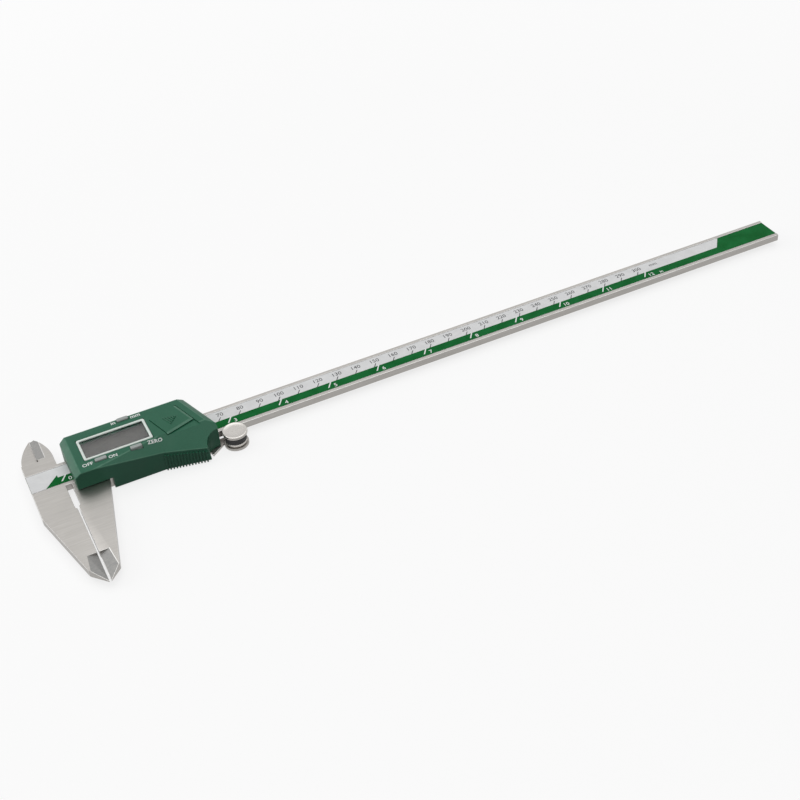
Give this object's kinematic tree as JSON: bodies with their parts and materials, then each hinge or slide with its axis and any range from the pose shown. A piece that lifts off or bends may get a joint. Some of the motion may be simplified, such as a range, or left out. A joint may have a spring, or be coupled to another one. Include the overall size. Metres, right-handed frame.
{
  "type": "digital caliper",
  "caption": "Digital vernier-style caliper with a long steel beam, paired outside and inside jaws, and a sliding plastic display head driven by a thumb roller.",
  "frame": {"origin": "under the middle of the whole caliper, on the plane of the slider frame back face", "axes": "+X along the beam from the jaws to the tail, +Y from the outside jaws to the inside jaws, +Z out of the display"},
  "size_m": [0.4034, 0.1046, 0.0156],
  "materials": {
    "steel": "satin ground",
    "bright_steel": "polished",
    "screw_steel": "satin",
    "spring_brass": "satin",
    "housing_green": "fine texture",
    "label_print": "printed",
    "bezel_white": "smooth",
    "window": "clear",
    "lcd_grey": "smooth",
    "button_grey": "smooth",
    "strip_board": "solder mask",
    "elastomer": "matt",
    "chip_black": "matt"
  },
  "bodies": {
    "beam": {"beam": "steel", "scale_strip": "strip_board", "scale_label": "label_print"},
    "slider": {"slider_frame": "steel", "main_board": "strip_board", "upper_housing": "housing_green", "display_bezel": "bezel_white", "display_lens": "window", "lcd_panel": "lcd_grey", "coin_cell": "bright_steel", "gib_screw_1": "screw_steel", "gib_screw_2": "screw_steel", "housing_screw_1": "screw_steel", "housing_screw_2": "screw_steel", "housing_screw_3": "screw_steel", "housing_screw_4": "screw_steel", "roller_pin": "screw_steel", "switch_dome_1": "screw_steel", "switch_dome_2": "screw_steel", "switch_dome_3": "screw_steel", "gib_strip": "spring_brass", "contact_plus": "spring_brass", "contact_minus": "spring_brass", "zebra_strip_1": "elastomer", "zebra_strip_2": "elastomer", "controller_chip": "chip_black"},
    "button_onoff": {"button_onoff": "button_grey"},
    "button_zero": {"button_zero": "button_grey"},
    "button_unit": {"button_unit": "button_grey"},
    "battery_cover": {"battery_cover": "housing_green"},
    "thumb_roller": {"thumb_roller": "bright_steel"},
    "lock_screw": {"lock_screw": "bright_steel"}
  },
  "joints": [
    {"name": "slider_slide", "type": "slide", "parent": "beam", "child": "slider", "axis": [1, 0, 0], "range_m": [-0.00088, 0.3039]},
    {"name": "thumb_roll", "type": "hinge", "parent": "slider", "child": "thumb_roller", "pos_m": [-0.10835, 0.00755, 0.006], "axis": [0, 0, 1], "continuous": true},
    {"name": "press_onoff", "type": "slide", "parent": "slider", "child": "button_onoff", "axis": [0, 0, -1], "range_m": [0, 0.00036], "stiffness_N_per_m": 2000},
    {"name": "press_zero", "type": "slide", "parent": "slider", "child": "button_zero", "axis": [0, 0, -1], "range_m": [0, 0.00036], "stiffness_N_per_m": 2000},
    {"name": "press_unit", "type": "slide", "parent": "slider", "child": "button_unit", "axis": [0, 0, -1], "range_m": [0, 0.00036], "stiffness_N_per_m": 2000},
    {"name": "battery_cover_slide", "type": "slide", "parent": "slider", "child": "battery_cover", "axis": [0.309, -0.9511, 0], "range_m": [0, 0.015]},
    {"name": "lock_screw_turn", "type": "hinge", "parent": "slider", "child": "lock_screw", "pos_m": [-0.16635, 0.0361, 0.00425], "axis": [0, 1, 0], "range_deg": [-180, 180]}
  ],
  "couplings": [
    {"joint": "thumb_roll", "follows": "slider_slide", "rad_per_m": 198.02}
  ]
}
